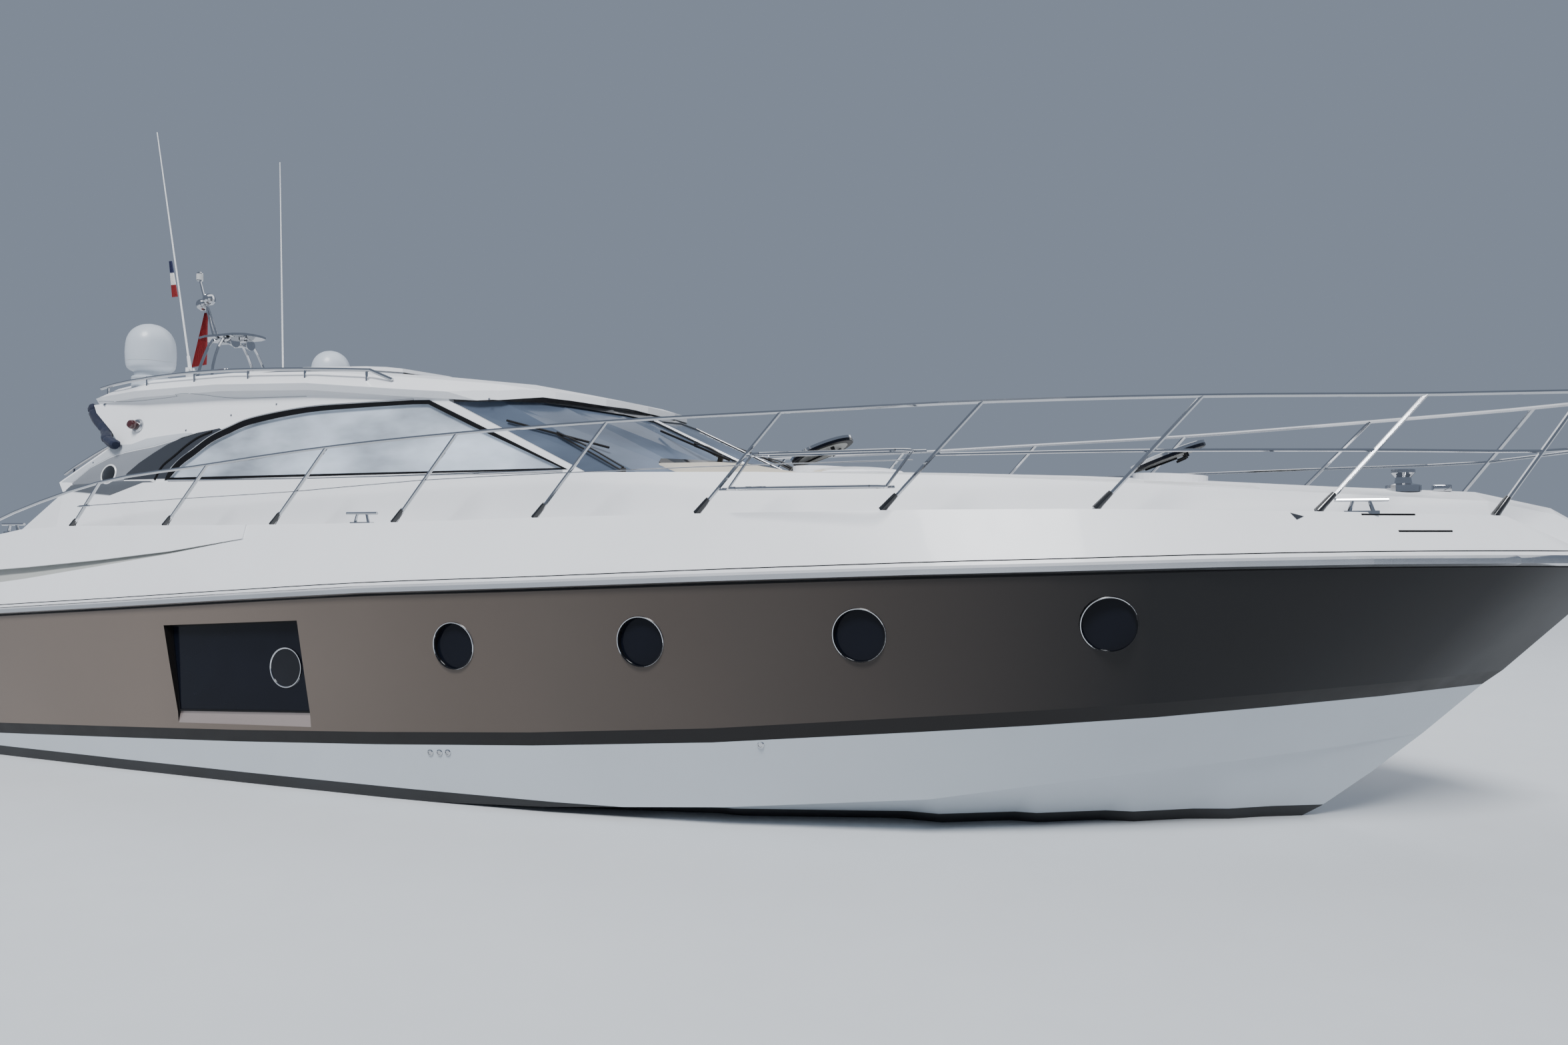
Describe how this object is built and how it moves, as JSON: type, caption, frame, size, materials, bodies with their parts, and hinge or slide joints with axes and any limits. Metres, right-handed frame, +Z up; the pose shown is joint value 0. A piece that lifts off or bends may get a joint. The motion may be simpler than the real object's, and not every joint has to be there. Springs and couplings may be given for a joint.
{
  "type": "motor yacht",
  "caption": "Hardtop express motor yacht afloat: deep-vee hull, open-backed cabin with raked windscreen, guard rails, twin propellers and rudders, mast with twin domes.",
  "frame": {"origin": "amidships on the centreline, on the plane of the water", "axes": "+X towards the bow, +Y to port, +Z up"},
  "size_m": [16.5545, 4.588, 7.8601],
  "materials": {
    "gelcoat": "polished gelcoat",
    "bronze_paint": "metallic lacquer",
    "stainless": "polished stainless steel",
    "clear_glass": "tinted sheet glass",
    "tinted_glass": "dark glass",
    "teak": "oiled teak",
    "cushion": "padded vinyl",
    "canvas": "woven cloth",
    "white_plastic": "gloss",
    "dark_plastic": "grained",
    "bronze_metal": "cast and ground",
    "cast_iron": "painted"
  },
  "bodies": {
    "hull": {"hull_bottom": "gelcoat", "hull_topsides": "bronze_paint", "deck_moulding": "gelcoat", "cockpit_sole": "teak", "strake_starboard": "stainless", "strake_port": "stainless", "hull_window_starboard": "tinted_glass", "hull_window_port": "tinted_glass", "bathing_platform": "gelcoat", "engine_starboard": "cast_iron", "engine_port": "cast_iron", "hardtop": "gelcoat", "cabin_side_starboard": "gelcoat", "cabin_side_port": "gelcoat", "side_glass_starboard": "clear_glass", "side_glass_port": "clear_glass", "windscreen_frame": "white_plastic", "windscreen_glass": "clear_glass", "roof_rail_starboard": "stainless", "roof_rail_port": "stainless", "mast": "stainless", "dome_starboard": "white_plastic", "dome_port": "white_plastic", "cleat_bow_starboard": "stainless", "cleat_bow_port": "stainless", "cleat_mid_starboard": "stainless", "cleat_mid_port": "stainless", "cleat_aft_starboard": "stainless", "cleat_aft_port": "stainless", "windlass": "stainless", "helm_console": "gelcoat", "helm_seat": "cushion", "settee": "cushion", "table": "teak", "galley": "gelcoat", "sunpad": "cushion", "canvas_roll_starboard": "canvas", "canvas_roll_port": "canvas", "flag": "canvas", "fender_basket_starboard": "stainless", "fender_basket_port": "stainless", "guard_rail_starboard": "stainless", "guard_rail_port": "stainless"},
    "boarding_ladder": {"boarding_ladder": "stainless"},
    "garage_lid": {"garage_lid": "bronze_paint"},
    "stern_gate": {"stern_gate": "gelcoat"},
    "roof_panel": {"roof_panel": "gelcoat"},
    "hatch_lid_aft": {"hatch_lid_aft": "tinted_glass"},
    "hatch_lid_forward": {"hatch_lid_forward": "tinted_glass"},
    "steering_wheel": {"steering_wheel": "dark_plastic"},
    "propeller_starboard": {"propeller_starboard": "bronze_metal"},
    "propeller_port": {"propeller_port": "bronze_metal"},
    "rudder_starboard": {"rudder_starboard": "bronze_metal"},
    "rudder_port": {"rudder_port": "bronze_metal"},
    "trim_tab_starboard": {"trim_tab_starboard": "stainless"},
    "trim_tab_port": {"trim_tab_port": "stainless"},
    "aerial_starboard": {"aerial_starboard": "white_plastic"},
    "aerial_port": {"aerial_port": "white_plastic"}
  },
  "joints": [
    {"name": "boarding_ladder_swing", "type": "hinge", "parent": "hull", "child": "boarding_ladder", "pos_m": [-8.28, 1.25, 0.55], "axis": [0, -1, 0], "range_deg": [0, 265]},
    {"name": "garage_lid_lift", "type": "hinge", "parent": "hull", "child": "garage_lid", "pos_m": [-7, -0.2, 1.168], "axis": [0, 1, 0], "range_deg": [0, 85]},
    {"name": "stern_gate_swing", "type": "hinge", "parent": "hull", "child": "stern_gate", "pos_m": [-6.085, 1.368, 1.75], "axis": [0, 0, 1], "range_deg": [0, 88]},
    {"name": "roof_panel_slide", "type": "slide", "parent": "hull", "child": "roof_panel", "axis": [-0.9968, 0, 0.0797], "range_m": [0, 0.6]},
    {"name": "hatch_lid_aft_lift", "type": "hinge", "parent": "hull", "child": "hatch_lid_aft", "pos_m": [1.90249, 0, 2.84112], "axis": [0, -1, 0], "range_deg": [-24, 46]},
    {"name": "hatch_lid_forward_lift", "type": "hinge", "parent": "hull", "child": "hatch_lid_forward", "pos_m": [4.85416, 0, 2.71837], "axis": [0, -1, 0], "range_deg": [-24, 46]},
    {"name": "rudder_starboard_turn", "type": "hinge", "parent": "hull", "child": "rudder_starboard", "pos_m": [-6.76, -0.78, -0.6], "axis": [0, 0, 1], "range_deg": [-35, 35]},
    {"name": "rudder_port_turn", "type": "hinge", "parent": "hull", "child": "rudder_port", "pos_m": [-6.76, 0.78, -0.6], "axis": [0, 0, 1], "range_deg": [-35, 35]},
    {"name": "steering_wheel_turn", "type": "hinge", "parent": "hull", "child": "steering_wheel", "pos_m": [-0.01985, -0.65, 2.24706], "axis": [-0.8682, 0, 0.4961], "range_deg": [-540, 540]},
    {"name": "propeller_starboard_spin", "type": "hinge", "parent": "hull", "child": "propeller_starboard", "pos_m": [-6.35, -0.78, -0.83], "axis": [0.9848, 0, 0.1736], "continuous": true},
    {"name": "propeller_port_spin", "type": "hinge", "parent": "hull", "child": "propeller_port", "pos_m": [-6.35, 0.78, -0.83], "axis": [0.9848, 0, 0.1736], "continuous": true},
    {"name": "trim_tab_starboard_tilt", "type": "hinge", "parent": "hull", "child": "trim_tab_starboard", "pos_m": [-7, -0.7, -0.423], "axis": [0, -0.9665, 0.2568], "range_deg": [0, 15]},
    {"name": "trim_tab_port_tilt", "type": "hinge", "parent": "hull", "child": "trim_tab_port", "pos_m": [-7, 0.7, -0.423], "axis": [0, -0.9665, -0.2568], "range_deg": [0, 15]},
    {"name": "aerial_starboard_fold", "type": "hinge", "parent": "hull", "child": "aerial_starboard", "pos_m": [-4.88, -0.63, 3.995], "axis": [0, -1, 0], "range_deg": [-11, 75]},
    {"name": "aerial_port_fold", "type": "hinge", "parent": "hull", "child": "aerial_port", "pos_m": [-4.88, 0.63, 3.995], "axis": [0, -1, 0], "range_deg": [-1.5, 85]}
  ],
  "couplings": [
    {"joint": "rudder_port_turn", "follows": "rudder_starboard_turn", "ratio": 1},
    {"joint": "steering_wheel_turn", "follows": "rudder_starboard_turn", "ratio": -15.42}
  ]
}
